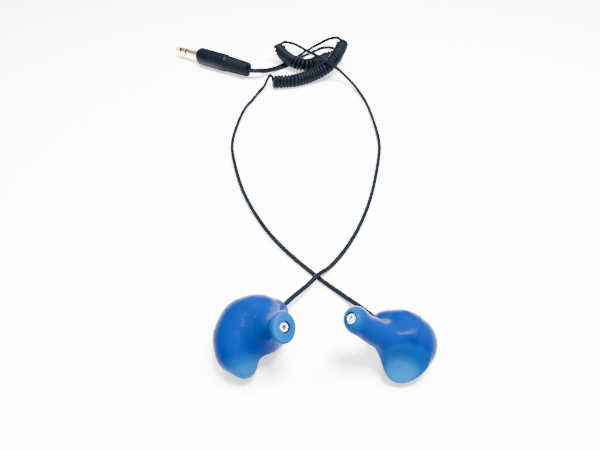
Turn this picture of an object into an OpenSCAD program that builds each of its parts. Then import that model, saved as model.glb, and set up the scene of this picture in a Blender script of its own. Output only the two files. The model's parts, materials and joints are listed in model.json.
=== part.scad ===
// Pair of custom-moulded in-ear monitors on curly leads with a 3.5 mm plug.
// Millimetres. +Z up, the earpieces rest on z = 0 with their canal tips up.
// +Y runs from the earpieces to the plug. Origin: centre of the pair's footprint.

/* [Cord] */
// Diameter of the round lead
cord_d = 1.65; // [1.2:0.05:2.2]
// Outer diameter of the curly part
coil_d = 6.8; // [5:0.2:9]

/* [Plug] */
// Diameter of the plug pin
pin_d = 3.5; // [3.5]
// Length of the pin in front of its shank
pin_len = 14; // [14:0.5:15]
// Largest diameter of the screw-on barrel
barrel_d = 9.2; // [8:0.2:11]
// Length of the barrel
barrel_len = 19.5; // [16:0.1:26]
// Length of the bare shank between the pin and the barrel
shank_len = 2.4; // [1:0.1:4]
// Length of the rubber boot behind the barrel
boot_len = 13.3; // [8:0.1:18]
// Length of the barrel's thread
thread_len = 2.5; // [2:0.5:5]
// Length of the metal core that the barrel covers
core_len = 6; // [5:0.5:8]

/* [Earpiece] */
// Thickness of the outer plate that closes each earpiece
plate_t = 2; // [1.5:0.1:3]
// Diameter of the sound bore in the canal
bore_d = 2.8; // [2:0.1:3.2]
// Outer diameter of the white wax guard
guard_d = 2.2; // [1.8:0.1:2.6]
// Inner diameter of the sound tube
tube_id = 1.9; // [1.4:0.1:2.0]
// Depth of the bend in the bore below the tip
bend_depth = 4.2; // [3.8:0.1:5]

/* [Receiver] */
// Length of the balanced-armature receiver
rc_len = 6.4; // [5:0.1:8]
// Width of the receiver
rc_w = 4.2; // [3.5:0.1:5]
// Height of the receiver
rc_h = 3; // [2.5:0.1:4]
// Wall thickness of its can
rc_t = 0.25; // [0.2:0.05:0.4]

/* [Hidden] */

silicone = [0.12, 0.43, 0.9];
cord_col = [0.08, 0.09, 0.12];
gold = [0.85, 0.68, 0.3];
steel = [0.72, 0.72, 0.74];
e = 0.01;
bf = 24;            // facets of the balls that are blended with hull

// Left earpiece: balls [x, y, z, r] that the bowl is blended from
L0 = [-14.0, 8.5, 5.0, 3.6];
L1 = [-18.5, 5.2, 6.2, 7.1];
L2 = [-21.6, 3.1, 6.6, 7.5];
L3 = [-23.5, -0.8, 6.2, 6.8];
L4 = [-24.0, -4.7, 6.0, 4.6];
L5 = [-21.6, -7.6, 4.4, 3.5];
LM = [-16.5, 1.3, 7.5, 4.6];
LS = [-15.5, 1.3, 8.5, 5.2];     // root of the canal stem
LN = [-12.0, -3.3, 16.8, 2.9];   // neck of the canal stem
left_tip = [-10.4, -4.6, 19.0];  // centre of the tip's oval face
left_n = [0.54, -0.42, 0.73];    // outward direction of the tip
left_rear = [-20.8, 3.4, 6.3];   // rear end of the receiver
left_pocket = [-20.9, 3.2];
left_exit = [-11.7, 11.3, 4.6];  // where the lead leaves
left_dir = [0.64, 0.76, -0.1];

// Right earpiece
R0 = [17.7, 3.0, 6.0, 4.2];
R1 = [20.9, 1.3, 6.3, 5.9];
R2 = [22.8, -1.6, 6.3, 7.5];
R3 = [24.9, -2.6, 5.8, 4.7];
R4 = [21.5, -5.6, 5.4, 5.6];
R5 = [19.8, -8.5, 4.0, 3.5];
RM = [21.3, -2.3, 7.0, 5.3];
RS = [18.8, -2.3, 8.0, 4.3];
RN = [9.4, -1.9, 15.8, 3.1];
RB = [7.9, -1.2, 17.2, 3.4];     // bulb at the end of the canal
right_tip = [5.9, -2.1, 19.8];
right_n = [-0.66, 0.13, 0.74];
right_rear = [20.4, -1.6, 6.6];
right_pocket = [21.8, -1.6];
right_exit = [15.3, 6.5, 5.2];
right_dir = [-0.55, 0.79, -0.27];

// Plug: point on its axis, 1 mm behind the pin, and its heading
plug_pos = [-64.7, 178.1, 4.6];
plug_yaw = 149.7;

// Free routes, round numbers, [x, y, z]
left_lead_route = [[-9, 14.6, 4.1], [-4.6, 19.8, 3], [-0.8, 24.4, 2.6], [3.4, 29.1, 1],
  [9, 36.8, 0.85], [15.2, 48.6, 0.85], [20.6, 63, 0.85], [26, 84, 0.85], [28.4, 98, 0.85],
  [28.2, 114, 0.85], [26.4, 132, 0.85], [23, 144.6, 1.6], [19.5, 151.3, 3], [16, 155, 5],
  [11.6, 156.9, 8], [6.3, 157.6, 11.3], [1.8, 163.6, 11], [-2.8, 171.4, 9.8],
  [-6.6, 177.6, 9.2], [-10.6, 182.4, 9], [-14.8, 184, 9.2], [-18, 182.6, 9.2]];
right_lead_route = [[12.4, 10.6, 3.8], [8.2, 16.2, 1.4], [4.4, 20, 0.85], [-0.8, 24.8, 0.85],
  [-11.8, 36.6, 0.85], [-19.6, 47.6, 0.85], [-28.2, 65, 0.85], [-34, 84, 0.85], [-36.6, 98, 0.85],
  [-36, 112, 0.85], [-33.2, 129, 0.85], [-30.4, 135.6, 0.85], [-28.4, 141.6, 1], [-25.4, 147, 2],
  [-23.8, 149.6, 4], [-22.6, 150.8, 5.8], [-20.6, 151.2, 4.8]];
left_coil_route = [[-18.4, 180.3, 9.9], [-17.9, 179.3, 7.4], [-16.8, 177.6, 5.9], [-15, 175.1, 5.3],
  [-11.9, 170.6, 5.2], [-7.7, 166.5, 5], [-3, 165.9, 4.5], [4.5, 172.2, 3.6],
  [10.3, 177.6, 3.45], [17.2, 179, 3.45]];
right_coil_route = [[-21.5, 149.2, 3.45], [-15.5, 149.7, 3.45], [-10, 150.5, 3.45],
  [-5, 152.9, 3.45], [0.4, 155.6, 4], [7.2, 158.8, 6.2], [11.4, 163.6, 8.4],
  [14, 169.2, 9.4], [15.7, 173.8, 10.4], [16.9, 176.9, 12.2]];
left_tail_route = [[16.2, 179.6, 5.6], [16.4, 184, 4.2], [15.6, 190, 1.6], [13.2, 194.6, 0.85],
  [10.6, 195.9, 0.85], [6.5, 195, 0.85], [1.6, 190.7, 0.85], [-4.3, 184.6, 0.85],
  [-12.6, 173.6, 0.85], [-20, 166.8, 1.4], [-25.4, 161.6, 2.8], [-28.9, 159, 4.1]];
right_tail_route = [[16.6, 176.2, 13.2], [13.1, 178.4, 14], [9.9, 180, 12.8], [7.3, 181.5, 11],
  [4.6, 183.1, 8.8], [1.3, 184.8, 6.2], [-1.4, 186.4, 3.8], [-4.4, 187, 1.9],
  [-7.2, 184.6, 1], [-10, 180.8, 0.85], [-14.2, 175.6, 0.85], [-21.2, 168.6, 1.4],
  [-26.2, 163.6, 2.8], [-28.9, 161, 4.1]];

function unit(v) = v / norm(v);

// Place children with +Z along d at point p
module at_axis(p, d)
  translate(p)
    rotate([0, acos(d[2] / norm(d)), atan2(d[1], d[0])]) children();

module ball(c) translate([c[0], c[1], c[2]]) sphere(r = c[3], $fn = bf);

// ---- Swept round cord ----
function cr(a, b, c, d, t) = 0.5 * ((2 * b) + (c - a) * t + (2 * a - 5 * b + 4 * c - d) * t * t
  + (3 * b - a - 3 * c + d) * t * t * t);
function spline(p, k) = let (n = len(p)) [
  for (i = [0 : n - 2]) let (
    a = p[max(i - 1, 0)], b = p[i], c = p[i + 1], d = p[min(i + 2, n - 1)])
    for (j = [0 : (i == n - 2 ? k : k - 1)]) cr(a, b, c, d, j / k)];
function tangent(p, i) = unit(p[min(i + 1, len(p) - 1)] - p[max(i - 1, 0)]);
function ring(c, t, r, n) = let (s = unit(cross(t, [0, 0, 1])), u = cross(s, t)) [
  for (j = [0 : n - 1]) c + r * (cos((j + 0.5) * 360 / n) * s + sin((j + 0.5) * 360 / n) * u)];

module swept(p, r, n) {
  m = len(p);
  pts = [for (i = [0 : m - 1]) each ring(p[i], tangent(p, i), r, n)];
  faces = concat(
    [[for (j = [0 : n - 1]) j]],
    [for (i = [0 : m - 2]) for (j = [0 : n - 1]) let (a = i * n + j, b = i * n + (j + 1) % n)
      each [[a, a + n, b + n], [a, b + n, b]]],
    [[for (j = [n - 1 : -1 : 0]) (m - 1) * n + j]]);
  polyhedron(points = pts, faces = faces, convexity = 6);
}

// ---- Earpiece forms ----
module left_form() {
  hull() { ball(L0); ball(L1); ball(LM); }
  hull() { ball(L1); ball(L2); ball(L3); ball(LM); }
  hull() { ball(L3); ball(L4); ball(LM); }
  hull() { ball(L4); ball(L5); }
  hull() { ball(LS); ball(LN); }
  hull() {
    ball(LN);
    at_axis(left_tip, left_n) rotate([0, 0, 145]) {
      translate([0, 0, -0.5]) scale([4.1, 3.5, 1]) cylinder(r = 1, h = 0.5, $fn = 32);
      translate([0, 0, -1.6]) scale([4.2, 3.6, 1]) cylinder(r = 1, h = 0.6, $fn = 32);
    }
  }
}
module right_form() {
  hull() { ball(R0); ball(R1); ball(RM); }
  hull() { ball(R1); ball(R2); ball(R3); ball(RM); }
  hull() { ball(R3); ball(R4); ball(RM); }
  hull() { ball(R4); ball(R5); }
  hull() { ball(RS); ball(RN); }
  hull() { ball(RN); ball(RB); }
}

// Bore of the canal: mouth along n, bend, then straight to the receiver
module canal(tip, n, rear, r, from, extra) {
  bend = tip - bend_depth * unit(n);
  c = unit(bend - rear);
  front = rear + rc_len * c;
  at_axis(bend + 0.5 * unit(n), n) cylinder(r = r, h = bend_depth - from - 0.5, $fn = 32);
  translate(bend) sphere(r = r + 0.25, $fn = 32);
  at_axis(front - extra * c, c) cylinder(r = r, h = norm(bend - front) + extra - 0.5, $fn = 32);
}

// Frame of the receiver: origin at its front face, +Z out of its spout
module rc_frame(tip, n, rear) {
  bend = tip - bend_depth * unit(n);
  c = unit(bend - rear);
  at_axis(rear + rc_len * c, c) children();
}

module shell(tip, n, rear, pocket, exit, dir) {
  difference() {
    intersection() {
      children();
      translate([-60, -60, plate_t]) cube([120, 120, 60]);
    }
    canal(tip, n, rear, bore_d / 2, -3, 0.6);
    rc_frame(tip, n, rear)
      translate([-rc_h / 2 - 0.15, -rc_w / 2 - 0.15, -rc_len - 1]) cube([rc_h + 0.5, rc_w + 0.3, rc_len + 1]);
    translate([pocket[0], pocket[1], plate_t - 1]) cylinder(r = 4, h = 6.4, $fn = 48);
    at_axis(exit, dir) translate([0, 0, -3.4]) cylinder(r = 1.15, h = 8, $fn = 32);
    wire_way(exit, dir, pocket, 0.65, 0);
  }
}

// Way from the grommet to the receiver's pocket, begun a little later by skip
module wire_way(exit, dir, pocket, r, skip) {
  a = exit - 3.1 * unit(dir);
  b = [pocket[0], pocket[1], a[2]];
  d = b - a;
  at_axis(a + skip * unit(d), d) cylinder(r = r, h = norm(d) - 3 - skip, $fn = 24);
}

module faceplate() {
  intersection() {
    children();
    translate([-60, -60, 0]) cube([120, 120, plate_t]);
  }
}

module sound_tube(tip, n, rear) {
  bend = tip - bend_depth * unit(n);
  c = unit(bend - rear);
  front = rear + rc_len * c;
  at_axis(front + 0.05 * c, c) pipe(norm(bend - front) - 0.7);
}
// Short tube at the mouth that the wax guard plugs into
module guard_seat(tip, n)
  at_axis(tip - (bend_depth - 0.6) * unit(n), n) pipe(bend_depth - 1.5);
module pipe(h)
  difference() {
    cylinder(r = bore_d / 2, h = h, $fn = 48);
    translate([0, 0, -1]) cylinder(r = tube_id / 2, h = h + 2, $fn = 48);
  }

// White collar whose sleeve plugs into the sound tube
module wax_guard(tip, n)
  at_axis(tip, n) difference() {
    union() {
      translate([0, 0, -0.88]) cylinder(r = guard_d / 2, h = 0.55, $fn = 48);
      translate([0, 0, -2.8]) cylinder(r = tube_id / 2 - 0.04, h = 2, $fn = 48);
    }
    translate([0, 0, -3]) cylinder(r = 0.62, h = 4, $fn = 48);
  }

module wax_mesh(tip, n)
  at_axis(tip, n) translate([0, 0, -1.1]) intersection() {
    cylinder(r = 0.62, h = 0.3, $fn = 48);
    union() {
      for (a = [0, 90]) rotate([0, 0, a]) translate([-1, -0.11, 0]) cube([2, 0.22, 0.3]);
      difference() {
        cylinder(r = 0.7, h = 0.3, $fn = 48);
        translate([0, 0, -1]) cylinder(r = 0.5, h = 3, $fn = 48);
      }
    }
  }

module damper(tip, n, rear) {
  bend = tip - bend_depth * unit(n);
  c = unit(bend - rear);
  at_axis(bend - 2.4 * c, c) difference() {
    cylinder(r = tube_id / 2, h = 0.8, $fn = 32);
    translate([0, 0, -1]) cylinder(r = 0.3, h = 3, $fn = 24);
  }
}

// Receiver parts in the receiver's own frame
module rc_can()
  difference() {
    translate([-rc_h / 2, -rc_w / 2, -rc_len]) cube([rc_h, rc_w, rc_len]);
    translate([-rc_h / 2 + rc_t, -rc_w / 2 + rc_t, -rc_len + rc_t]) cube([rc_h, rc_w - 2 * rc_t, rc_len - 2 * rc_t]);
    translate([0, 0, -1]) cylinder(r = 0.55, h = 2, $fn = 24);
  }
module rc_lid() translate([rc_h / 2, -rc_w / 2, -rc_len]) cube([0.2, rc_w, rc_len]);
module rc_spout()
  difference() {
    cylinder(r = tube_id / 2 - 0.02, h = 1.6, $fn = 32);
    translate([0, 0, -1]) cylinder(r = 0.55, h = 4, $fn = 24);
  }
module rc_coil()
  difference() {
    translate([-1.15, -1.3, -5.7]) cube([1.9, 2.6, 2.3]);
    translate([-0.45, -0.9, -6]) cube([0.5, 1.8, 3]);
  }
module rc_magnets() for (x = [-1.15, 0.1]) translate([x, -1, -3.1]) cube([0.65, 2, 1.8]);
module rc_armature() translate([-0.3, -0.75, -rc_len + rc_t]) cube([0.2, 1.5, 5.3]);
module rc_rod() translate([-0.1, 0, -1.05]) rotate([0, 90, 0]) cylinder(r = 0.12, h = 1.05, $fn = 16);
module rc_diaphragm() translate([0.95, -rc_w / 2 + rc_t, -rc_len + rc_t]) cube([0.15, rc_w - 2 * rc_t, rc_len - 2 * rc_t]);
module rc_board() translate([-1.2, -1.6, -rc_len - 0.5]) cube([2.4, 3.2, 0.5]);

module grommet(exit, dir)
  at_axis(exit, dir) difference() {
    translate([0, 0, -3.4]) cylinder(r = 1.15, h = 3.7, $fn = 48);
    translate([0, 0, -2.9]) cylinder(r = cord_d / 2 + 0.05, h = 5, $fn = 48);
  }

// ---- Left earpiece ----
module left_shell() color(silicone) shell(left_tip, left_n, left_rear, left_pocket, left_exit, left_dir) left_form();
module left_faceplate() color(silicone) faceplate() left_form();
module left_sound_tube() color([0.85, 0.88, 0.92]) sound_tube(left_tip, left_n, left_rear);
module left_guard_seat() color([0.85, 0.88, 0.92]) guard_seat(left_tip, left_n);
module left_wax_guard() color([0.95, 0.95, 0.95]) wax_guard(left_tip, left_n);
module left_wax_mesh() color([0.5, 0.5, 0.52]) wax_mesh(left_tip, left_n);
module left_damper() color([0.3, 0.6, 0.35]) damper(left_tip, left_n, left_rear);
module left_receiver_can() color(steel) rc_frame(left_tip, left_n, left_rear) rc_can();
module left_receiver_lid() color(steel) rc_frame(left_tip, left_n, left_rear) rc_lid();
module left_receiver_spout() color(steel) rc_frame(left_tip, left_n, left_rear) rc_spout();
module left_voice_coil() color([0.75, 0.4, 0.2]) rc_frame(left_tip, left_n, left_rear) rc_coil();
module left_magnets() color([0.4, 0.4, 0.42]) rc_frame(left_tip, left_n, left_rear) rc_magnets();
module left_armature() color(steel) rc_frame(left_tip, left_n, left_rear) rc_armature();
module left_drive_rod() color(steel) rc_frame(left_tip, left_n, left_rear) rc_rod();
module left_diaphragm() color([0.9, 0.8, 0.5]) rc_frame(left_tip, left_n, left_rear) rc_diaphragm();
module left_terminal_board() color([0.1, 0.35, 0.2]) rc_frame(left_tip, left_n, left_rear) rc_board();
module left_wires() color([0.7, 0.35, 0.15]) wire_way(left_exit, left_dir, left_pocket, 0.4, 1);
module left_lead_grommet() color(silicone) grommet(left_exit, left_dir);

// ---- Right earpiece ----
module right_shell() color(silicone) shell(right_tip, right_n, right_rear, right_pocket, right_exit, right_dir) right_form();
module right_faceplate() color(silicone) faceplate() right_form();
module right_sound_tube() color([0.85, 0.88, 0.92]) sound_tube(right_tip, right_n, right_rear);
module right_guard_seat() color([0.85, 0.88, 0.92]) guard_seat(right_tip, right_n);
module right_wax_guard() color([0.95, 0.95, 0.95]) wax_guard(right_tip, right_n);
module right_wax_mesh() color([0.5, 0.5, 0.52]) wax_mesh(right_tip, right_n);
module right_damper() color([0.3, 0.6, 0.35]) damper(right_tip, right_n, right_rear);
module right_receiver_can() color(steel) rc_frame(right_tip, right_n, right_rear) rc_can();
module right_receiver_lid() color(steel) rc_frame(right_tip, right_n, right_rear) rc_lid();
module right_receiver_spout() color(steel) rc_frame(right_tip, right_n, right_rear) rc_spout();
module right_voice_coil() color([0.75, 0.4, 0.2]) rc_frame(right_tip, right_n, right_rear) rc_coil();
module right_magnets() color([0.4, 0.4, 0.42]) rc_frame(right_tip, right_n, right_rear) rc_magnets();
module right_armature() color(steel) rc_frame(right_tip, right_n, right_rear) rc_armature();
module right_drive_rod() color(steel) rc_frame(right_tip, right_n, right_rear) rc_rod();
module right_diaphragm() color([0.9, 0.8, 0.5]) rc_frame(right_tip, right_n, right_rear) rc_diaphragm();
module right_terminal_board() color([0.1, 0.35, 0.2]) rc_frame(right_tip, right_n, right_rear) rc_board();
module right_wires() color([0.7, 0.35, 0.15]) wire_way(right_exit, right_dir, right_pocket, 0.4, 1);
module right_lead_grommet() color(silicone) grommet(right_exit, right_dir);

// ---- Plug, in its own frame: +Z towards the tip, z = 0 on its shank, 1 mm behind the pin ----
module plug_frame() translate(plug_pos) rotate([0, 90, plug_yaw]) children();
function plug_point(s, side) = plug_pos
  + s * [cos(plug_yaw), sin(plug_yaw), 0] + side * [sin(plug_yaw), -cos(plug_yaw), 0];

tip_z = 1 + pin_len;
bz = shank_len + barrel_len;   // distance of the barrel's rear edge from z = 0
pr = pin_d / 2;

module band(z0, z1, ri, ro)
  rotate_extrude($fn = 64) translate([ri, z0]) square([ro - ri, z1 - z0]);

module plug_tip() color(gold) plug_frame() {
  rotate_extrude($fn = 64) polygon([[0, 10.8], [pr, 10.8], [pr - 0.1, 11.2], [pr - 0.55, 11.9], [pr - 0.5, 12.2],
    [pr, 13.1], [pr - 0.25, 13.9], [pr - 0.8, 14.6], [0.4, tip_z], [0, tip_z]]);
  translate([0, 0, -10.4]) cylinder(r = 0.5, h = 21.3, $fn = 32);
}
module plug_tip_insulator() color([0.1, 0.1, 0.1]) plug_frame() {
  band(10.1, 10.8, 0.5, pr);
  band(-9.4, 10.2, 0.5, 0.75);
}
module plug_ring() color(gold) plug_frame() {
  band(7.1, 10.1, 0.75, pr);
  band(-9, 7.2, 0.75, 1.0);
}
module plug_ring_insulator() color([0.1, 0.1, 0.1]) plug_frame() {
  band(6.4, 7.1, 1.0, pr);
  band(-8.7, 6.5, 1.0, 1.25);
}
module plug_sleeve() color(gold) plug_frame() {
  band(1, 6.4, 1.25, pr);
  band(-shank_len, 1, 1.25, 2);
  band(-shank_len - thread_len, -shank_len, 1.25, 3.2);
  band(-shank_len - core_len, -shank_len, 1.25, 2.8);
}
// Strip and loop that hold the two cords
module plug_clamp() color(steel) plug_frame() {
  difference() {
    translate([0, 0, -16]) cylinder(r = 2.3, h = 5, $fn = 48);
    translate([0, 0, -17]) cylinder(r = 1.75, h = 7, $fn = 48);
  }
  translate([-0.9, 1.85, -11.5]) cube([1.8, 0.4, 11.5 - shank_len - core_len]);
}
module plug_barrel() color([0.09, 0.1, 0.13]) plug_frame()
  rotate_extrude($fn = 96) polygon([
    [3.25, -shank_len], [3.5, -shank_len], [4.2, -shank_len - 0.5], [4.55, -shank_len - 1.7],
    [barrel_d / 2 - 0.02, -13], [barrel_d / 2, -19.4],
    [4.35, -20.6], [4.05, -bz], [2.5, -bz], [2.5, -20.4], [3.25, -20.4]]);
module plug_boot() color([0.09, 0.1, 0.13]) plug_frame()
  rotate_extrude($fn = 96) polygon(concat(
    [[1.8, -19.3], [3.1, -19.3], [3.1, -20.3], [2.45, -20.3], [2.45, -bz - 0.05]],
    [for (i = [0 : 4]) each let (z = -bz - 0.05 - i * 2.5, r = 4.15 - 0.08 * i)
      [[r, z], [r, z - 1.75], [r - 0.42, z - 1.75], [r - 0.42, z - 2.5]]],
    [[3.8, -bz - 12.55], [3.7, -bz - boot_len + 0.3], [3.4, -bz - boot_len], [1.8, -bz - boot_len]]));

// ---- Cords ----
back = bz + boot_len;
co = cord_d / 2 + 0.045;        // offset of each cord from the plug's axis
module left_lead() color(cord_col) swept(concat(
  [left_exit - 2.6 * unit(left_dir), left_exit + 1.2 * unit(left_dir)], spline(left_lead_route, 1)), cord_d / 2, 8);
module right_lead() color(cord_col) swept(concat(
  [right_exit - 2.6 * unit(right_dir), right_exit + 1.2 * unit(right_dir)], spline(right_lead_route, 1)), cord_d / 2, 8);
module left_coil() color(cord_col) swept(left_coil_route, coil_d / 2, 12);
module right_coil() color(cord_col) swept(right_coil_route, coil_d / 2, 12);
module left_tail() color(cord_col) swept(concat(left_tail_route,
  [plug_point(-back - 2.9, -co), plug_point(-back + 1, -co), plug_point(-11.2, -co)]), cord_d / 2, 8);
module right_tail() color(cord_col) swept(concat(right_tail_route,
  [plug_point(-back - 2.9, co), plug_point(-back + 1, co), plug_point(-11.2, co)]), cord_d / 2, 8);

left_shell();
left_faceplate();
left_sound_tube();
left_guard_seat();
left_wax_guard();
left_wax_mesh();
left_damper();
left_receiver_can();
left_receiver_lid();
left_receiver_spout();
left_voice_coil();
left_magnets();
left_armature();
left_drive_rod();
left_diaphragm();
left_terminal_board();
left_wires();
left_lead_grommet();
right_shell();
right_faceplate();
right_sound_tube();
right_guard_seat();
right_wax_guard();
right_wax_mesh();
right_damper();
right_receiver_can();
right_receiver_lid();
right_receiver_spout();
right_voice_coil();
right_magnets();
right_armature();
right_drive_rod();
right_diaphragm();
right_terminal_board();
right_wires();
right_lead_grommet();
left_lead();
left_coil();
left_tail();
right_lead();
right_coil();
right_tail();
plug_tip();
plug_tip_insulator();
plug_ring();
plug_ring_insulator();
plug_sleeve();
plug_clamp();
plug_barrel();
plug_boot();
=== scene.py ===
import json
import math

import bpy
import numpy as np
from mathutils import Matrix, Vector


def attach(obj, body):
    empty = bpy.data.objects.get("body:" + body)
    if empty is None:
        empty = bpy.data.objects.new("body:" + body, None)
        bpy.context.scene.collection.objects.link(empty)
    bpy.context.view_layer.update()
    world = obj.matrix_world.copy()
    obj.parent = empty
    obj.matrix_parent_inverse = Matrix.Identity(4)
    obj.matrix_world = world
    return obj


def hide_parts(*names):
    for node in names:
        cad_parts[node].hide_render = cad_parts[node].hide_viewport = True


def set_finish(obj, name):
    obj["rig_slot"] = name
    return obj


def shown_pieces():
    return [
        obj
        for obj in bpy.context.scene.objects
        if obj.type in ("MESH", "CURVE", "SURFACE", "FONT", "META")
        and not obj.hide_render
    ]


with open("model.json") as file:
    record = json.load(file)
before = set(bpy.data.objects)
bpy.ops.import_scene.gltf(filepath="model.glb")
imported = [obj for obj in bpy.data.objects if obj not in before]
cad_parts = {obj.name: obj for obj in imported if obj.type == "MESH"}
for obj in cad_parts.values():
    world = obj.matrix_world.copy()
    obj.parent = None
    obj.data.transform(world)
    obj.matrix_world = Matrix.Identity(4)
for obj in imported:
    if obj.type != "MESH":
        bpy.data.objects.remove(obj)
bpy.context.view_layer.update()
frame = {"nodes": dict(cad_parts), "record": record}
MM = 0.001
V3 = lambda *a: np.array(a, float)


def unit(v):
    v = np.asarray(v, float)
    return v / np.linalg.norm(v)


# ------------------------------------------------------------------ camera
cam_data = bpy.data.cameras.new("camera")
cam_data.sensor_fit = "HORIZONTAL"
cam_data.sensor_width = 36.0
cam_data.lens = 36.0 * 440.0 / 600.0
cam_data.clip_start = 0.002
cam_data.clip_end = 20.0
cam = bpy.data.objects.new("camera", cam_data)
bpy.context.scene.collection.objects.link(cam)
cam.location = (-0.006638, -0.062674, 0.116)
cam.rotation_euler = (math.radians(44.0), 0.0, 0.0)
bpy.context.scene.camera = cam


# ------------------------------------------------------------------ helpers
def link(o):
    bpy.context.scene.collection.objects.link(o)
    return o


def mesh_object(name, verts_mm, faces, smooth=True, angle=None):
    me = bpy.data.meshes.new(name)
    me.from_pydata((np.asarray(verts_mm, float) * MM).tolist(), [], [list(map(int, f)) for f in faces])
    me.validate()
    me.update()
    if smooth:
        me.polygons.foreach_set("use_smooth", [True] * len(me.polygons))
        if angle is not None:
            me.set_sharp_from_angle(angle=math.radians(angle))
    return link(bpy.data.objects.new(name, me))


def catmull(points, step=0.8):
    """Centripetal Catmull-Rom through the points, sampled about every step millimetres."""
    P = [np.array(p, float) for p in points]
    P = [2 * P[0] - P[1]] + P + [2 * P[-1] - P[-2]]
    out = []
    for i in range(1, len(P) - 2):
        p0, p1, p2, p3 = P[i - 1], P[i], P[i + 1], P[i + 2]
        t0 = 0.0
        t1 = t0 + max(np.linalg.norm(p1 - p0) ** 0.5, 1e-6)
        t2 = t1 + max(np.linalg.norm(p2 - p1) ** 0.5, 1e-6)
        t3 = t2 + max(np.linalg.norm(p3 - p2) ** 0.5, 1e-6)
        n = max(2, int(math.ceil(np.linalg.norm(p2 - p1) / step)))
        for k in range(n):
            t = t1 + (t2 - t1) * k / n
            a1 = (t1 - t) / (t1 - t0) * p0 + (t - t0) / (t1 - t0) * p1
            a2 = (t2 - t) / (t2 - t1) * p1 + (t - t1) / (t2 - t1) * p2
            a3 = (t3 - t) / (t3 - t2) * p2 + (t - t2) / (t3 - t2) * p3
            b1 = (t2 - t) / (t2 - t0) * a1 + (t - t0) / (t2 - t0) * a2
            b2 = (t3 - t) / (t3 - t1) * a2 + (t - t1) / (t3 - t1) * a3
            out.append((t2 - t) / (t2 - t1) * b1 + (t - t1) / (t2 - t1) * b2)
    out.append(P[-2])
    return np.array(out)


def hermite(p0, d0, p1, d1, n=14, k=1.0):
    L = np.linalg.norm(np.subtract(p1, p0)) * k
    t = np.linspace(0, 1, n + 1)[1:-1, None]
    return ((2 * t**3 - 3 * t**2 + 1) * p0 + (t**3 - 2 * t**2 + t) * L * unit(d0)
            + (-2 * t**3 + 3 * t**2) * p1 + (t**3 - t**2) * L * unit(d1))


def path_length(p):
    return float(np.linalg.norm(np.diff(p, axis=0), axis=1).sum())


def resample(p, n):
    s = np.concatenate([[0], np.cumsum(np.linalg.norm(np.diff(p, axis=0), axis=1))])
    u = np.linspace(0, s[-1], n)
    return np.stack([np.interp(u, s, p[:, k]) for k in range(3)], 1)


def tangents(p):
    t = np.zeros_like(p)
    t[1:-1] = p[2:] - p[:-2]
    t[0] = p[1] - p[0]
    t[-1] = p[-1] - p[-2]
    return t / np.linalg.norm(t, axis=1, keepdims=True)


def transport(p, start=None):
    """Frames (e1, e2, t) carried along p without twist."""
    t = tangents(p)
    a = np.array([0, 0, 1.0]) if start is None else np.asarray(start, float)
    if abs(a @ t[0]) > 0.95:
        a = np.array([1.0, 0, 0])
    e = a - (a @ t[0]) * t[0]
    e /= np.linalg.norm(e)
    E1 = [e]
    for i in range(1, len(p)):
        e = E1[-1] - (E1[-1] @ t[i]) * t[i]
        E1.append(e / np.linalg.norm(e))
    E1 = np.array(E1)
    return E1, np.cross(t, E1), t


def tube(name, p, r, sides=14):
    E1, E2, T = transport(p)
    a = np.arange(sides) * 2 * math.pi / sides
    rings = p[:, None, :] + r * (np.cos(a)[None, :, None] * E1[:, None, :] + np.sin(a)[None, :, None] * E2[:, None, :])
    # slightly rounded ends
    first = p[0] - 0.25 * r * T[0] + 0.72 * (rings[0] - p[0])
    last = p[-1] + 0.25 * r * T[-1] + 0.72 * (rings[-1] - p[-1])
    allr = np.concatenate([first[None], rings, last[None]])
    n = len(allr)
    verts = allr.reshape(-1, 3)
    faces = []
    for i in range(n - 1):
        for j in range(sides):
            k = (j + 1) % sides
            faces.append((i * sides + j, i * sides + k, (i + 1) * sides + k, (i + 1) * sides + j))
    faces.append(tuple(range(sides - 1, -1, -1)))
    faces.append(tuple((n - 1) * sides + j for j in range(sides)))
    return mesh_object(name, verts, faces)


def lathe(name, profile, segs=96, place=None, angle=32):
    """Solid of revolution about Z from a closed (r, z) outline, put in place by a 4x4 matrix in mm."""
    pts, ring_of = [], []
    for r, z in profile:
        if r < 1e-6:
            ring_of.append((len(pts), 1))
            pts.append((0, 0, z))
        else:
            ring_of.append((len(pts), segs))
            for j in range(segs):
                a = 2 * math.pi * j / segs
                pts.append((r * math.cos(a), r * math.sin(a), z))
    faces = []
    m = len(profile)
    for i in range(m):
        (a, na), (b, nb) = ring_of[i], ring_of[(i + 1) % m]
        if na == 1 and nb == 1:
            continue
        for j in range(segs):
            k = (j + 1) % segs
            if na == 1:
                faces.append((a, b + k, b + j))
            elif nb == 1:
                faces.append((a + j, a + k, b))
            else:
                faces.append((a + j, a + k, b + k, b + j))
    P = np.array(pts, float)
    if place is not None:
        P = P @ place[:3, :3].T + place[:3, 3]
    o = mesh_object(name, P, faces, angle=angle)
    fix_normals(o)
    return o


def fix_normals(o):
    import bmesh
    bm = bmesh.new()
    bm.from_mesh(o.data)
    bmesh.ops.recalc_face_normals(bm, faces=bm.faces)
    bm.to_mesh(o.data)
    bm.free()


def chamfer(profile, c):
    """Rounds each corner of a closed outline by c, which may be one number or one per corner."""
    out, n = [], len(profile)
    for i in range(n):
        p = np.array(profile[i], float)
        ci = c[i] if hasattr(c, "__len__") else c
        a, b = np.array(profile[i - 1], float) - p, np.array(profile[(i + 1) % n], float) - p
        la, lb = np.linalg.norm(a), np.linalg.norm(b)
        if ci <= 0 or la < 1e-6 or lb < 1e-6 or p[0] < 1e-6:
            out.append(tuple(p))
            continue
        d = min(ci, la * 0.45, lb * 0.45)
        s, e = p + a / la * d, p + b / lb * d
        for t in (0, 0.33, 0.67, 1):
            q = (1 - t) ** 2 * s + 2 * t * (1 - t) * p + t * t * e
            out.append((max(q[0], 0.0), q[1]))
    return out


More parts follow.
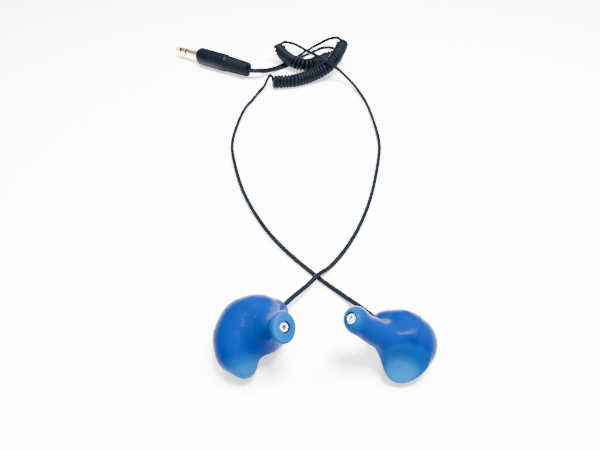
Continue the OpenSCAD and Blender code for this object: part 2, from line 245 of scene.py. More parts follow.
# ------------------------------------------------------------------ cords
CORD_D = 1.65
COIL_R = 3.4 - CORD_D / 2          # radius at the middle of the turns
left_exit, left_dir = V3(-11.7, 11.3, 4.6), unit((0.64, 0.76, -0.1))
right_exit, right_dir = V3(15.3, 6.5, 5.2), unit((-0.55, 0.79, -0.27))
plug_pos, plug_yaw = V3(-64.7, 178.1, 4.6), math.radians(149.7)
plug_ax = V3(math.cos(plug_yaw), math.sin(plug_yaw), 0)
plug_side = V3(math.sin(plug_yaw), -math.cos(plug_yaw), 0)


def plug_point(s, side):
    return plug_pos + s * plug_ax + side * plug_side


# the leads end and the tails begin inside the CAD's coil, where the drawn cord follows the turns instead
ROUTES = json.loads("""{
"left_lead": [[-9, 14.6, 4.1], [-4.6, 19.8, 3], [-0.8, 24.4, 2.6], [3.4, 29.1, 1], [9, 36.8, 0.85],
  [15.2, 48.6, 0.85], [20.6, 63, 0.85], [26, 84, 0.85], [28.4, 98, 0.85], [28.2, 114, 0.85], [26.4, 132, 0.85],
  [23, 144.6, 1.6], [19.5, 151.3, 3], [16, 155, 5], [11.6, 156.9, 8], [6.3, 157.6, 11.3], [1.8, 163.6, 11],
  [-2.8, 171.4, 9.8], [-6.6, 177.6, 9.2], [-10.6, 182.4, 9], [-14.8, 184, 9.2], [-18, 182.6, 9.2]],
"right_lead": [[12.4, 10.6, 3.8], [8.2, 16.2, 1.4], [4.4, 20, 0.85], [-0.8, 24.8, 0.85], [-11.8, 36.6, 0.85],
  [-19.6, 47.6, 0.85], [-28.2, 65, 0.85], [-34, 84, 0.85], [-36.6, 98, 0.85], [-36, 112, 0.85],
  [-33.2, 129, 0.85], [-30.4, 135.6, 0.85], [-28.4, 141.6, 1], [-25.4, 147, 2], [-23.8, 149.6, 4],
  [-22.6, 150.8, 5.8], [-20.6, 151.2, 4.8]],
"left_coil": [[-18.4, 180.3, 9.9], [-17.9, 179.3, 7.4], [-16.8, 177.6, 5.9], [-15, 175.1, 5.3],
  [-11.9, 170.6, 5.2], [-7.7, 166.5, 5], [-3, 165.9, 4.5], [4.5, 172.2, 3.6], [10.3, 177.6, 3.45],
  [17.2, 179, 3.45]],
"right_coil": [[-21.5, 149.2, 3.45], [-15.5, 149.7, 3.45], [-10, 150.5, 3.45], [-5, 152.9, 3.45],
  [0.4, 155.6, 4], [7.2, 158.8, 6.2], [11.4, 163.6, 8.4], [14, 169.2, 9.4], [15.7, 173.8, 10.4],
  [16.9, 176.9, 12.2]],
"left_tail": [[16.2, 179.6, 5.6], [16.4, 184, 4.2], [15.6, 190, 1.6], [13.2, 194.6, 0.85], [10.6, 195.9, 0.85],
  [6.5, 195, 0.85], [1.6, 190.7, 0.85], [-4.3, 184.6, 0.85], [-12.6, 173.6, 0.85], [-20, 166.8, 1.4],
  [-25.4, 161.6, 2.8], [-28.9, 159, 4.1]],
"right_tail": [[16.6, 176.2, 13.2], [13.1, 178.4, 14], [9.9, 180, 12.8], [7.3, 181.5, 11], [4.6, 183.1, 8.8],
  [1.3, 184.8, 6.2], [-1.4, 186.4, 3.8], [-4.4, 187, 1.9], [-7.2, 184.6, 1], [-10, 180.8, 0.85],
  [-14.2, 175.6, 0.85], [-21.2, 168.6, 1.4], [-26.2, 163.6, 2.8], [-28.9, 161, 4.1]]
}""")


def helix(route, hand, start_dir, end_dir, pitch=1.71):
    """Turns round the coil's middle line. start_dir and end_dir are where round the line the turns begin and end."""
    line = catmull(route, 0.5)
    L = path_length(line)
    line = resample(line, 400)
    E1, E2, T = transport(line)

    def angle(i, d):
        return math.atan2(np.dot(d, E2[i]), np.dot(d, E1[i]))

    s0, s1 = CORD_D / 2 / L, 1 - CORD_D / 2 / L
    a0, a1 = angle(int(s0 * 399), start_dir), angle(int(s1 * 399), end_dir)
    turns = round((L - CORD_D) / pitch)
    total = hand * ((hand * (a1 - a0)) % (2 * math.pi) + 2 * math.pi * (turns - 1))
    n = int(abs(total) / (2 * math.pi) * 22)
    u = np.linspace(0, 1, n)
    s = (s0 + (s1 - s0) * u) * 399
    a = a0 + total * u
    g = lambda A: np.stack([np.interp(s, np.arange(400), A[:, k]) for k in range(3)], 1)
    c, e1, e2 = g(line), g(E1), g(E2)
    # the turns are not all wound equally tight
    rad = COIL_R * (1 + 0.012 * np.sin(u * 41) + 0.008 * np.sin(u * 97 + 1))
    return c + rad[:, None] * (np.cos(a)[:, None] * e1 + np.sin(a)[:, None] * e2)


def cord_path(side, exit_, dir_, lead, coil, tail, hand, start_dir, end_dir, off):
    a = catmull([exit_ - 2.6 * dir_, exit_ - 0.4 * dir_, exit_ + 1.2 * dir_] + lead[:-1], 1.2)
    h = helix(coil, hand, start_dir, end_dir)
    back = 21.9 + 13.3
    b = catmull(tail[1:] + [plug_point(-back - 2.9, off), plug_point(-back - 1, off), plug_point(-back + 1, off),
                        plug_point(-back + 6, off), plug_point(-11.2, off)], 1.0)
    j0 = hermite(a[-1], a[-1] - a[-2], h[0], h[1] - h[0], 14, 1.1)
    j1 = hermite(h[-1], h[-1] - h[-2], b[0], b[1] - b[0], 14, 1.1)
    return np.concatenate([a, j0, h, j1, b])


top = V3(0, 0, 1)
left_path = cord_path("left", left_exit, left_dir, ROUTES["left_lead"], ROUTES["left_coil"], ROUTES["left_tail"],
                      -1, V3(0, 1, 0), top, -CORD_D / 2 - 0.045)
right_path = cord_path("right", right_exit, right_dir, ROUTES["right_lead"], ROUTES["right_coil"], ROUTES["right_tail"],
                       -1, V3(0, 1, 0.3), V3(-0.23, -0.53, 0.81), CORD_D / 2 + 0.045)
left_cord = tube("left_cord", left_path, CORD_D / 2)
right_cord = tube("right_cord", right_path, CORD_D / 2)
PLUG_NODES = ["plug_tip", "plug_tip_insulator", "plug_ring", "plug_ring_insulator", "plug_sleeve", "plug_clamp",
              "plug_barrel", "plug_boot"]

# ------------------------------------------------------------------ earpieces, as distance fields
def smin(a, b, k):
    h = np.clip(k - np.abs(a - b), 0, None) / k
    return np.minimum(a, b) - h * h * k * 0.25


def smax(a, b, k):
    return -smin(-a, -b, k)


def cone(p, a, b, ra, rb):
    a, b = np.asarray(a, float), np.asarray(b, float)
    ba = b - a
    h = np.clip(((p - a) @ ba) / (ba @ ba), 0, 1)
    d = p - a - h[..., None] * ba
    return np.sqrt((d * d).sum(-1)) - (ra + (rb - ra) * h)


def ellipsoid(p, c, R, ax):
    q = (p - c) @ np.asarray(ax).T
    R = np.asarray(R, float)
    k0 = np.sqrt(((q / R) ** 2).sum(-1))
    k1 = np.sqrt(((q / R ** 2) ** 2).sum(-1))
    return k0 * (k0 - 1) / np.maximum(k1, 1e-9)


def rod(p, c, n, r, z0, z1):
    """Cylinder of radius r along n from z0 to z1."""
    q = p - c
    z = q @ n
    d = np.sqrt(np.maximum((q * q).sum(-1) - z * z, 0)) - r
    return np.maximum(d, np.maximum(z0 - z, z - z1))


def lumps(p, seed, size, amp):
    """Slow waves, the unevenness of a hand-made mould."""
    g = np.random.default_rng(seed)
    out = 0
    for _ in range(7):
        w = unit(g.normal(size=3)) * (2 * math.pi / (size * g.uniform(0.7, 1.5)))
        out = out + np.sin(p @ w + g.uniform(0, 6.28))
    return out * amp / 7


left_tip, left_n = V3(-10.4, -4.6, 19.0), unit((0.54, -0.42, 0.73))
left_u = unit(V3(-0.115, 0.822, 0.558) - left_n * (V3(-0.115, 0.822, 0.558) @ left_n))
right_tip, right_n = V3(5.9, -2.1, 19.8), unit((-0.66, 0.13, 0.74))

LB = {"P0": (-14.01, 8.53, 5.0, 3.66), "P1": (-18.47, 5.16, 6.2, 7.13), "P2": (-21.59, 3.10, 6.6, 7.52),
      "P3": (-23.48, -0.76, 6.2, 6.84), "P4": (-23.99, -4.68, 6.0, 4.61), "P5": (-21.64, -7.62, 4.4, 3.57),
      "M": (-16.49, 1.31, 7.5, 4.60), "P6": (-16.34, 2.31, 5.0, 4.23)}
RB = {"P0": (17.68, 2.98, 6.0, 4.25), "P1": (20.93, 1.27, 6.3, 5.94), "P2": (22.84, -1.57, 6.3, 7.51),
      "P3": (24.85, -2.56, 5.8, 4.74), "P4": (21.54, -5.64, 5.4, 5.59), "P5": (19.82, -8.48, 4.0, 3.53),
      "M": (21.34, -2.30, 7.0, 5.34)}


def bowl(p, balls, pairs, k):
    d = None
    for a, b in pairs:
        c = cone(p, balls[a][:3], balls[b][:3], balls[a][3], balls[b][3])
        d = c if d is None else smin(d, c, k)
    return d


CHAIN = [("P0", "P1"), ("P1", "P2"), ("P2", "P3"), ("P3", "P4"), ("P4", "P5"), ("P1", "M"), ("P2", "M"), ("P3", "M"),
         ("P4", "M"), ("P0", "M")]


def left_body(p):
    d = bowl(p, LB, CHAIN + [("M", "P6")], 2.2) + 0.12
    root = V3(*LB["M"][:3]) + V3(1.0, 0, 1.0)
    d = smin(d, cone(p, left_tip - left_n * 3.0, root, 2.8, 5.4), 3.5)
    v = np.cross(left_n, left_u)
    d = smin(d, ellipsoid(p, left_tip - 1.2 * left_n, (4.15, 3.56, 3.2), [left_u, v, left_n]), 1.0)
    d = d + lumps(p, 3, 9, 0.16)
    return smax(d, (p - left_tip) @ left_n, 0.35)


def right_body(p):
    d = bowl(p, RB, CHAIN, 2.2) + 0.12
    # the trimmed face low on the bowl, towards the viewer
    d = smax(d, (p - V3(20.6, -10.0, 5.2)) @ unit((-0.1, -0.82, 0.56)), 0.6)
    root = V3(*RB["M"][:3]) + V3(-2.5, 0, 1.0)
    d = smin(d, cone(p, V3(8.1, -2.2, 17.1), root, 3.0, 4.33), 3.0)
    d = smin(d, cone(p, V3(7.9, -1.2, 17.2), V3(8.1, -1.3, 16.9), 3.4, 3.4), 1.2)
    return d + lumps(p, 8, 9, 0.16)


def ear(body, tip, n, exit_, dir_, part):
    def f(p):
        d = smax(body(p), -p[..., 2], 0.5)
        d = smax(d, -rod(p, tip, n, 1.4, -8.2, 3), 0.3)
        d = smax(d, -rod(p, exit_, dir_, 1.17, -3.42, 6), 0.25)
        if part == "shell":
            return smax(d, 2.02 - p[..., 2], 0.10)
        return smax(d, p[..., 2] - 1.98, 0.10)
    return f


def surface(f, lo, hi, h):
    """Closed quad mesh of the zero level of f."""
    n = np.ceil((hi - lo) / h).astype(int) + 1
    ax = [lo[k] + h * np.arange(n[k]) for k in range(3)]
    D = np.empty(n)
    for i in range(n[0]):
        Y, Z = np.meshgrid(ax[1], ax[2], indexing="ij")
        D[i] = f(np.stack([np.full_like(Y, ax[0][i]), Y, Z], -1))
    S = D < 0
    c = tuple(n - 1)
    corners = [(a, b, e) for a in (0, 1) for b in (0, 1) for e in (0, 1)]
    cut = lambda A, o: A[o[0]:o[0] + c[0], o[1]:o[1] + c[1], o[2]:o[2] + c[2]]
    count = sum(cut(S, o).astype(np.int8) for o in corners)
    cell = (count > 0) & (count < 8)
    idx = np.full(c, -1)
    idx[cell] = np.arange(cell.sum())
    acc = np.zeros((cell.sum(), 3))
    num = np.zeros(cell.sum())
    for o1 in corners:
        for k in range(3):
            if o1[k]:
                continue
            o2 = list(o1)
            o2[k] = 1
            d1, d2 = cut(D, o1)[cell], cut(D, tuple(o2))[cell]
            m = (d1 < 0) != (d2 < 0)
            t = d1 / np.where(m, d1 - d2, 1)
            q = np.tile(np.array(o1, float), (len(d1), 1))
            q[:, k] += t
            acc[m] += q[m]
            num[m] += 1
    P = lo + h * (np.argwhere(cell) + acc / num[:, None])
    faces = []
    for k in range(3):
        a, b = (k + 1) % 3, (k + 2) % 3
        sl1 = [slice(None)] * 3
        sl2 = [slice(None)] * 3
        sl1[k], sl2[k] = slice(0, -1), slice(1, None)
        S1, S2 = S[tuple(sl1)], S[tuple(sl2)]
        edges = np.argwhere(S1 != S2)
        inside = S1[tuple(edges.T)]
        keep = (edges[:, a] > 0) & (edges[:, b] > 0) & (edges[:, a] < n[a] - 1) & (edges[:, b] < n[b] - 1)
        edges, inside = edges[keep], inside[keep]
        q = []
        for da, db in ((-1, -1), (0, -1), (0, 0), (-1, 0)):
            e = edges.copy()
            e[:, a] += da
            e[:, b] += db
            q.append(idx[tuple(e.T)])
        q = np.stack(q, 1)
        q[~inside] = q[~inside][:, ::-1]
        faces.append(q)
    F = np.concatenate(faces)
    e = 0.02
    for _ in range(4):
        d = f(P)
        g = np.stack([(f(P + e * v) - f(P - e * v)) / (2 * e) for v in np.eye(3)], -1)
        g2 = np.maximum((g * g).sum(-1), 0.2)
        step = -(d / g2)[:, None] * g
        s = np.linalg.norm(step, axis=1, keepdims=True)
        P = P + step * np.minimum(1, 0.5 * h / np.maximum(s, 1e-9))
    # even out the quads a little, then back onto the surface
    for _ in range(2):
        A, C = np.zeros_like(P), np.zeros(len(P))
        for j in range(4):
            i0, i1 = F[:, j], F[:, (j + 1) % 4]
            np.add.at(A, i0, P[i1])
            np.add.at(C, i0, 1)
        avg = A / np.maximum(C, 1)[:, None]
        P = P + 0.5 * (avg - P)
        d = f(P)
        g = np.stack([(f(P + e * v) - f(P - e * v)) / (2 * e) for v in np.eye(3)], -1)
        g2 = np.maximum((g * g).sum(-1), 0.2)
        P = P - np.clip(d / g2, -0.5 * h, 0.5 * h)[:, None] * g
    return P, F


FACET = V3(20.6, -10.0, 5.2), unit((-0.1, -0.82, 0.56))


def lobe(P, tip, n):
    """How much painted light each point gets, where more light comes through: the flat tip, and the low lobe or trimmed
    face.
    """
    step = lambda a, b, x: (lambda t: t * t * (3 - 2 * t))(np.clip((x - a) / (b - a), 0, 1))
    face = step(-0.5, -0.15, (P - tip) @ n) * step(5.5, 4.0, np.linalg.norm(P - tip, axis=1))
    if tip[0] < 0:
        low = 0.90 * step(8.6, 2.2, np.linalg.norm(P - V3(-22.0, -10.6, 3.6), axis=1))
        return np.maximum(0.34 * face, low)
    low = step(-1.3, 0.1, (P - FACET[0]) @ FACET[1]) * step(9.5, 8.0, np.linalg.norm(P - FACET[0], axis=1))
    low = low * (0.18 + 0.72 * step(7.2, 2.4, np.linalg.norm(P - V3(19.6, -10.4, 4.6), axis=1)))
    bulb = 0.30 * step(4.4, 2.0, np.linalg.norm(P - V3(6.2, -2.2, 18.6), axis=1))
    return np.maximum(low, bulb)


def make_ear(name, body, tip, n, exit_, dir_, lo, hi, part, h):
    f = ear(body, tip, n, exit_, dir_, part)
    P, F = surface(f, np.array(lo, float), np.array(hi, float), h)
    o = mesh_object(name, P, F)
    # how thick the silicone is behind each point, and how open the point is, which sets the painted shade in folds
    e = 0.05
    solid = lambda p: smax(body(p), -p[..., 2], 0.5)
    N = np.stack([solid(P + e * v) - solid(P - e * v) for v in np.eye(3)], -1)
    N /= np.maximum(np.linalg.norm(N, axis=1, keepdims=True), 1e-9)
    thick = np.clip(-(solid(P - N * 1.2) / 1.2 + solid(P - N * 3.5) / 3.5 + solid(P - N * 6) / 6) / 3, 0, 1)
    openness = np.clip((solid(P + N * 1.5) / 1.5 + solid(P + N * 4) / 4 + solid(P + N * 8) / 8) / 3, 0, 1)
    glow = lobe(P, tip, n)
    # hardly any light gets down the bore, so it is painted in full shade with no painted glow
    q = P - tip
    z = q @ n
    bore = (np.linalg.norm(q - z[:, None] * n, axis=1) < 1.62) & (z < -0.12) & (z > -9)
    openness[bore] = 0
    glow[bore] = 0
    for key, val in (("thick", thick), ("openness", openness), ("glow", glow)):
        a = o.data.attributes.new(key, "FLOAT", "POINT")
        a.data.foreach_set("value", val.astype(np.float32))
    return o


H = 0.25
LBOX = ((-31, -13, -0.6), (-6, 14.5, 22.5))
RBOX = ((2, -14, -0.6), (32, 9.5, 22.5))
ears = {}
for side, body, tip, n, ex, di, box in (("left", left_body, left_tip, left_n, left_exit, left_dir, LBOX),
                                        ("right", right_body, right_tip, right_n, right_exit, right_dir, RBOX)):
    s = make_ear(side + "_shell_form", body, tip, n, ex, di, (box[0][0], box[0][1], 1.4), box[1], "shell", H)
    b = make_ear(side + "_faceplate_form", body, tip, n, ex, di, box[0], (box[1][0], box[1][1], 2.5), "plate", H)
    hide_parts(side + "_shell")
    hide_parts(side + "_faceplate")
    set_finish(s, "silicone")
    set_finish(b, "silicone")
    ears[side] = (s, b)
    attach(s, side + "_earpiece")
    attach(b, side + "_earpiece")


# ------------------------------------------------------------------ wax guards
def axis_frame(p, d, twist=0.0):
    z = unit(d)
    x = unit(np.cross((0, 0, 1.0), z))
    y = np.cross(z, x)
    c, s = math.cos(twist), math.sin(twist)
    m = np.eye(4)
    m[:3, 0], m[:3, 1], m[:3, 2], m[:3, 3] = c * x + s * y, c * y - s * x, z, p
    return m


def guard(side, tip, n):
    rim = [(0.60, -2.8), (0.91, -2.8), (0.91, -0.88), (1.1, -0.88), (1.1, -0.36), (0.98, -0.20), (0.76, -0.20),
           (0.60, -0.42)]
    o = lathe(side + "_wax_guard_form", chamfer(rim, [0.05, 0.1, 0, 0.08, 0.12, 0.10, 0.10, 0.10]), 72,
              axis_frame(tip, n), angle=50)
    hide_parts(side + "_wax_guard")
    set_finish(o, "guard_white")
    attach(o, side + "_guard")
    # membrane with four lobes between a cross of ribs
    V, F = [], []
    segs, rings = 64, 7
    m = axis_frame(tip, n, 0.3)
    for lay in (0, 1):
        for i in range(rings):
            r = 0.62 * i / (rings - 1)
            for j in range(segs):
                a = 2 * math.pi * j / segs
                lobe = abs(math.sin(2 * a)) ** 1.4 * math.sin(math.pi * min(1, r / 0.6)) ** 0.8
                z = -0.62 - 0.34 * lobe if lay == 0 else -1.12
                V.append((r * math.cos(a), r * math.sin(a), z))
        base = lay * rings * segs
        for i in range(rings - 1):
            for j in range(segs):
                k = (j + 1) % segs
                q = (base + i * segs + j, base + i * segs + k, base + (i + 1) * segs + k, base + (i + 1) * segs + j)
                F.append(q if lay == 0 else q[::-1])
    a, b = (rings - 1) * segs, (2 * rings - 1) * segs
    for j in range(segs):
        k = (j + 1) % segs
        F.append((a + j, a + k, b + k, b + j))
    P = np.array(V) @ m[:3, :3].T + m[:3, 3]
    w = mesh_object(side + "_wax_mesh_form", P, F)
    import bmesh
    bm = bmesh.new()
    bm.from_mesh(w.data)
    bmesh.ops.remove_doubles(bm, verts=bm.verts, dist=2e-6)
    bmesh.ops.recalc_face_normals(bm, faces=bm.faces)
    bm.to_mesh(w.data)
    bm.free()
    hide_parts(side + "_wax_mesh")
    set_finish(w, "mesh_grey")
    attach(w, side + "_guard")
    return o, w


guards = {"left": guard("left", left_tip, left_n), "right": guard("right", right_tip, right_n)}

# ------------------------------------------------------------------ plug
plug_m = np.eye(4)
plug_m[:3, 2] = plug_ax
plug_m[:3, 0] = V3(0, 0, -1)
plug_m[:3, 1] = np.cross(plug_ax, V3(0, 0, -1))
plug_m[:3, 3] = plug_pos

barrel_profile = [(3.25, -2.42), (3.5, -2.4), (3.95, -2.55), (4.3, -2.95), (4.5, -3.6), (4.57, -4.4), (4.59, -6), (4.59, -13),
                  (4.59, -18.7), (4.59, -18.9), (4.44, -19.05), (4.44, -19.3), (4.56, -19.45), (4.56, -19.95),
                  (4.40, -20.1), (4.40, -20.35), (4.50, -20.5), (4.50, -20.95), (4.30, -21.25), (4.08, -21.9),
                  (2.5, -21.9), (2.5, -20.4), (3.25, -20.4)]
barrel = lathe("barrel_form", barrel_profile, 128, plug_m, angle=38)
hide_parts("plug_barrel")
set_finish(barrel, "barrel_black")
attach(barrel, "barrel")

ribs = []
zt, ze = -21.95, -35.2
z = zt
while z > ze + 1.7:
    r = 4.16 - 0.42 * (zt - z) / (zt - ze)
    ribs += [(r - 0.10, z), (r, z - 0.12), (r + 0.02, z - 0.45), (r, z - 0.80), (r - 0.14, z - 0.94), (r - 0.16, z - 1.08)]
    z -= 1.22
boot_profile = [(1.8, -19.3), (3.1, -19.3), (3.1, -20.3), (2.45, -20.3), (2.45, -21.95)] + ribs + [
    (3.74, z - 0.05), (3.74, ze + 0.55), (3.62, ze + 0.22), (3.3, ze), (1.8, ze)]
boot = lathe("boot_form", boot_profile, 128, plug_m, angle=45)
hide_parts("plug_boot")
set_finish(boot, "boot_rubber")
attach(boot, "boot")

tip_profile = [(0, 10.86), (1.75, 10.86), (1.75, 11.02), (1.62, 11.25), (1.22, 11.85), (1.16, 12.05), (1.26, 12.3),
               (1.68, 12.95), (1.75, 13.15), (1.70, 13.4), (1.50, 13.85), (0.98, 14.55), (0.70, 14.85), (0.38, 15.0),
               (0, 15.0)]
pieces_pin = []
o = lathe("pin_tip_form", tip_profile, 64, plug_m, angle=60)
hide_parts("plug_tip")
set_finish(o, "gold")
pieces_pin.append(o)
for nm, node, z0, z1, ri, slot_ in (("pin_ring_form", "plug_ring", 7.3, 9.9, 0.75, "gold"),
                                    ("pin_band_front", "plug_tip_insulator", 9.9, 10.86, 0.5, "ring_black"),
                                    ("pin_band_rear", "plug_ring_insulator", 6.2, 7.3, 1.0, "ring_black")):
    g = 1.75 if slot_ == "gold" else 1.72
    o = lathe(nm, chamfer([(ri, z0), (g, z0), (g, z1), (ri, z1)], [0, 0.09, 0.09, 0]), 64, plug_m, angle=50)
    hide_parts(node)
    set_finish(o, slot_)
    pieces_pin.append(o)
sleeve_profile = chamfer([(1.25, -8.4), (2.8, -8.4), (2.8, -4.9), (3.18, -4.9), (3.18, -2.4), (2.0, -2.4), (2.0, 1),
                          (1.75, 1.0), (1.75, 6.2), (1.25, 6.2)], [0, 0.15, 0, 0.1, 0.1, 0, 0.2, 0, 0.09, 0])
o = lathe("pin_sleeve_form", sleeve_profile, 96, plug_m, angle=50)
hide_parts("plug_sleeve")
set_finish(o, "gold")
pieces_pin.append(o)
for o in pieces_pin:
    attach(o, "leads")

for o, side in ((left_cord, "left"), (right_cord, "right")):
    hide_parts(side + "_lead", side + "_coil", side + "_tail")
    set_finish(o, "cord_jacket")
    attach(o, "leads")


# ------------------------------------------------------------------ materials
def lin(r, g, b):
    f = lambda c: c / 12.92 if c <= 0.04045 else ((c + 0.055) / 1.055) ** 2.4
    return (f(r / 255), f(g / 255), f(b / 255), 1.0)


class Mat:
    def __init__(self, name):
        self.m = bpy.data.materials.new(name)
        self.m.use_nodes = True
        self.t = self.m.node_tree
        self.b = self.t.nodes["Principled BSDF"]
        self.co = self.t.nodes.new("ShaderNodeTexCoord").outputs["Object"]

    def node(self, kind, **kw):
        n = self.t.nodes.new(kind)
        for k, v in kw.items():
            if k.startswith("i_"):
                n.inputs[k[2:].replace("_", " ")].default_value = v
            else:
                setattr(n, k, v)
        return n

    def link(self, a, b):
        self.t.links.new(a, b)

    def set(self, **kw):
        for k, v in kw.items():
            self.b.inputs[k.replace("_", " ")].default_value = v
        return self

    def noise(self, scale, detail=4, rough=0.55, vec=None, distort=0.0):
        n = self.node("ShaderNodeTexNoise", i_Scale=scale, i_Detail=detail, i_Roughness=rough, i_Distortion=distort)
        self.link(vec or self.co, n.inputs["Vector"])
        return n.outputs["Fac"]

    def ramp(self, fac, stops):
        n = self.node("ShaderNodeValToRGB")
        r = n.color_ramp
        while len(r.elements) < len(stops):
            r.elements.new(0.5)
        for e, (p, c) in zip(r.elements, stops):
            e.position, e.color = p, c if hasattr(c, "__len__") else (c, c, c, 1)
        self.link(fac, n.inputs["Fac"])
        return n.outputs["Color"]

    def mix(self, a, b, fac, mode="MIX"):
        n = self.node("ShaderNodeMix", data_type="RGBA", blend_type=mode)
        for s, v in ((n.inputs[6], a), (n.inputs[7], b), (n.inputs[0], fac)):
            if hasattr(v, "is_output"):
                self.link(v, s)
            else:
                s.default_value = v
        return n.outputs[2]

    def math(self, op, a, b=0.5):
        n = self.node("ShaderNodeMath", operation=op)
        for s, v in ((n.inputs[0], a), (n.inputs[1], b)):
            if hasattr(v, "is_output"):
                self.link(v, s)
            else:
                s.default_value = v
        return n.outputs[0]

    def bump(self, height, strength, dist):
        n = self.node("ShaderNodeBump", i_Strength=strength, i_Distance=dist)
        self.link(height, n.inputs["Height"])
        self.link(n.outputs["Normal"], self.b.inputs["Normal"])
        return n

    def base(self, out):
        self.link(out, self.b.inputs["Base Color"])

    def rough(self, out):
        self.link(out, self.b.inputs["Roughness"])


def silicone():
    k = Mat("silicone")
    thick = k.node("ShaderNodeAttribute", attribute_name="thick").outputs["Fac"]
    painted_shade_fac = k.node("ShaderNodeAttribute", attribute_name="openness").outputs["Fac"]
    drift = k.ramp(k.noise(130, 3, 0.5), [(0.30, 0.0), (0.70, 1.0)])
    # dense middle, lighter thin edges, and painted shade where the surface folds in on itself
    body = k.ramp(thick, [(0.10, (0.0, 0.034, 0.110, 1)), (0.34, (0.0, 0.0160, 0.086, 1)),
                          (0.62, (0.0, 0.0100, 0.066, 1)), (0.95, (0.0, 0.0068, 0.054, 1))])
    cloud = k.mix(body, (0.0, 0.0135, 0.076, 1), k.math("MULTIPLY", drift, 0.35))
    # painted shade: the less open the point, the darker the colour
    shade = k.ramp(painted_shade_fac, [(0.02, (0.01, 0.012, 0.016, 1)), (0.25, (0.16, 0.18, 0.22, 1)), (0.62, (0.42, 0.46, 0.50, 1)), (0.95, (1, 1, 1, 1))])
    col = k.mix(cloud, shade, 0.85, "MULTIPLY")
    # painted light: the thin low lobes and the flat tips are lightened where more light comes through
    glow = k.node("ShaderNodeAttribute", attribute_name="glow").outputs["Fac"]
    col = k.mix(col, k.ramp(drift, [(0.2, (0.0, 0.036, 0.120, 1)), (0.8, (0.0, 0.050, 0.145, 1))]), glow)
    k.base(col)
    k.rough(k.ramp(k.noise(900, 4, 0.6), [(0.32, 0.12), (0.68, 0.22)]))
    k.set(Subsurface_Weight=0.10, Subsurface_Scale=0.0010, IOR=1.41, Specular_IOR_Level=0.010)
    k.b.inputs["Subsurface Radius"].default_value = (0.25, 0.9, 1.6)
    k.bump(k.mix(k.noise(420, 3, 0.5), k.noise(2600, 3, 0.6), 0.30), 0.35, 0.00035)
    return k.m


def jacket():
    k = Mat("cord_jacket")
    wear = k.noise(220, 4, 0.6)
    k.base(k.ramp(wear, [(0.30, (0.0008, 0.0015, 0.0030, 1)), (0.55, (0.0013, 0.0023, 0.0044, 1)), (0.78, (0.0026, 0.0040, 0.0070, 1))]))
    k.rough(k.ramp(k.noise(1500, 4, 0.6), [(0.3, 0.34), (0.7, 0.52)]))
    k.set(IOR=1.5, Specular_IOR_Level=0.03)
    k.bump(k.noise(5200, 3, 0.6), 0.25, 0.00006)
    return k.m


def plain(name, dark, light, rough, metal=0.0, scale=600, bump=0.2, dist=0.00005, stretch=None, **kw):
    k = Mat(name)
    vec = k.co
    if stretch:
        mp = k.node("ShaderNodeMapping", vector_type="POINT")
        mp.inputs["Scale"].default_value = stretch
        k.link(k.co, mp.inputs["Vector"])
        vec = mp.outputs["Vector"]
    f = k.noise(scale, 5, 0.6, vec)
    k.base(k.ramp(f, [(0.3, dark), (0.7, light)]))
    k.rough(k.ramp(k.noise(scale * 2.3, 3, 0.6, vec), [(0.3, rough[0]), (0.7, rough[1])]))
    k.set(Metallic=metal, **kw)
    k.bump(k.noise(scale * 3.1, 4, 0.6, vec), bump, dist)
    return k.m


def woven(name, a, b, scale):
    k = Mat(name)
    w1 = k.node("ShaderNodeTexWave", wave_type="BANDS", bands_direction="X", i_Scale=scale)
    w2 = k.node("ShaderNodeTexWave", wave_type="BANDS", bands_direction="Y", i_Scale=scale)
    for w in (w1, w2):
        k.link(k.co, w.inputs["Vector"])
    g = k.math("MAXIMUM", w1.outputs["Fac"], w2.outputs["Fac"])
    k.base(k.ramp(k.math("MULTIPLY", g, k.noise(900)), [(0.1, a), (0.6, b)]))
    k.rough(k.ramp(g, [(0.2, 0.9), (0.9, 0.7)]))
    k.bump(g, 0.5, 0.00008)
    return k.m


MATS = {
    "silicone": silicone(),
    "cord_jacket": jacket(),
    "clear_tube": plain("clear_tube", lin(196, 205, 214), lin(228, 233, 238), (0.12, 0.25), IOR=1.46,
                        Subsurface_Weight=0.4, Subsurface_Scale=0.0008, scale=500),
    "guard_white": plain("guard_white", lin(176, 178, 179), lin(196, 197, 196), (0.28, 0.42), scale=1400, bump=0.12,
                         Subsurface_Weight=0.2, Subsurface_Scale=0.0004),
    "mesh_grey": plain("mesh_grey", lin(20, 21, 24), lin(58, 60, 64), (0.35, 0.55), 0.3, scale=2200, bump=0.4,
                       Specular_IOR_Level=0.2),
    "damper_cloth": woven("damper_cloth", lin(40, 96, 52), lin(98, 160, 104), 9000),
    "can_steel": plain("can_steel", lin(160, 162, 166), lin(205, 207, 210), (0.24, 0.42), 1.0, scale=900,
                       stretch=(1, 1, 9)),
    "winding_copper": plain("winding_copper", lin(150, 74, 34), lin(206, 116, 60), (0.22, 0.38), 1.0, scale=1600,
                            stretch=(14, 1, 1)),
    "magnet": plain("magnet", lin(88, 89, 92), lin(126, 127, 130), (0.38, 0.6), 0.9, scale=1200),
    "film": plain("film", lin(196, 172, 96), lin(226, 206, 136), (0.14, 0.28), scale=700, IOR=1.6),
    "board_green": plain("board_green", lin(18, 72, 42), lin(34, 104, 64), (0.35, 0.5), scale=1100),
    "gold": plain("gold", lin(214, 178, 112), lin(244, 214, 150), (0.16, 0.30), 1.0, scale=1100, bump=0.10,
                  stretch=(1, 1, 1)),
    "ring_black": plain("ring_black", (0.006, 0.003, 0.002, 1), (0.016, 0.008, 0.005, 1), (0.25, 0.4), scale=1500,
                        Specular_IOR_Level=0.1),
    "barrel_black": plain("barrel_black", (0.0005, 0.0011, 0.0026, 1), (0.0010, 0.0019, 0.0042, 1), (0.32, 0.46), scale=420,
                          bump=0.16, dist=0.00006, Specular_IOR_Level=0.04),
    "boot_rubber": plain("boot_rubber", (0.0005, 0.0011, 0.0025, 1), (0.0011, 0.0019, 0.0040, 1), (0.46, 0.64), scale=800,
                         bump=0.25, Specular_IOR_Level=0.03),
}
slot_of = {}
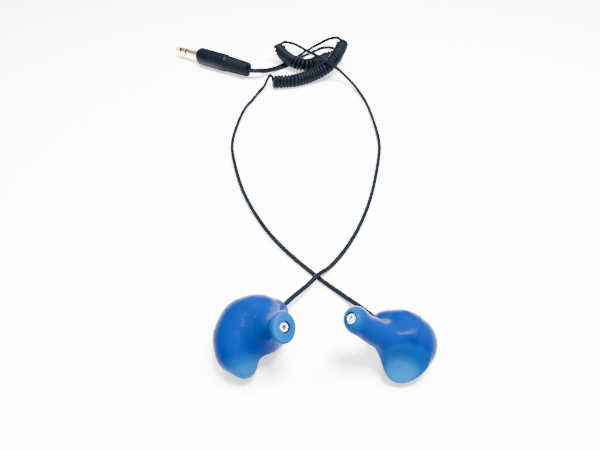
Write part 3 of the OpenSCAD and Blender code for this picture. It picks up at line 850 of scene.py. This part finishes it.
for s in frame["record"]["subparts"]:
    slot_of[s["node"]] = s["material_slot"]
for nm, o in frame["nodes"].items():
    o.data.materials.clear()
    o.data.materials.append(MATS[slot_of[nm]])
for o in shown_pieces():
    if "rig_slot" in o and not o.data.materials:
        o.data.materials.append(MATS[o["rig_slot"]])

# ------------------------------------------------------------------ stage and light
fl = Mat("floor")
paper = fl.ramp(fl.noise(3, 2), [(0.3, (0.88, 0.89, 0.91, 1)), (0.7, (0.90, 0.905, 0.92, 1))])
fl.base(paper)
fl.link(paper, fl.b.inputs["Emission Color"])
fl.set(Roughness=0.6, Specular_IOR_Level=0.2, Emission_Strength=0.9)
fme = bpy.data.meshes.new("floor")
S_ = 3.0
fme.from_pydata([(-S_, -S_, 0), (S_, -S_, 0), (S_, S_, 0), (-S_, S_, 0)], [], [(0, 1, 2, 3)])
floor = link(bpy.data.objects.new("floor", fme))
floor.data.materials.append(fl.m)


def area(name, loc, target, size, power, color=(1, 1, 1)):
    l = bpy.data.lights.new(name, "AREA")
    l.shape = "RECTANGLE"
    l.size, l.size_y = size
    l.energy = power
    l.color = color
    o = link(bpy.data.objects.new(name, l))
    o.location = loc
    o.rotation_euler = (Vector(target) - Vector(loc)).to_track_quat("-Z", "Y").to_euler()
    return o


area("key", (0.09, 0.06, 0.55), (0.0, 0.05, 0.0), (0.17, 0.17), 31.0, (1.0, 0.99, 0.97))
area("top", (-0.10, 0.10, 0.60), (0.0, 0.08, 0.0), (0.60, 0.60), 5.0, (0.97, 0.985, 1.0))
area("front", (-0.10, -0.42, 0.24), (0.0, 0.0, 0.01), (0.40, 0.30), 2.4, (0.97, 0.985, 1.0))
area("glint_a", (0.16, 0.10, 0.34), (0.0, 0.0, 0.01), (0.04, 0.04), 3.0)
area("glint_b", (-0.15, 0.16, 0.33), (0.0, 0.0, 0.01), (0.04, 0.04), 2.2)
world = bpy.data.worlds.new("world")
world.use_nodes = True
world.node_tree.nodes["Background"].inputs["Color"].default_value = (0.86, 0.90, 1.0, 1)
world.node_tree.nodes["Background"].inputs["Strength"].default_value = 0.5
bpy.context.scene.world = world
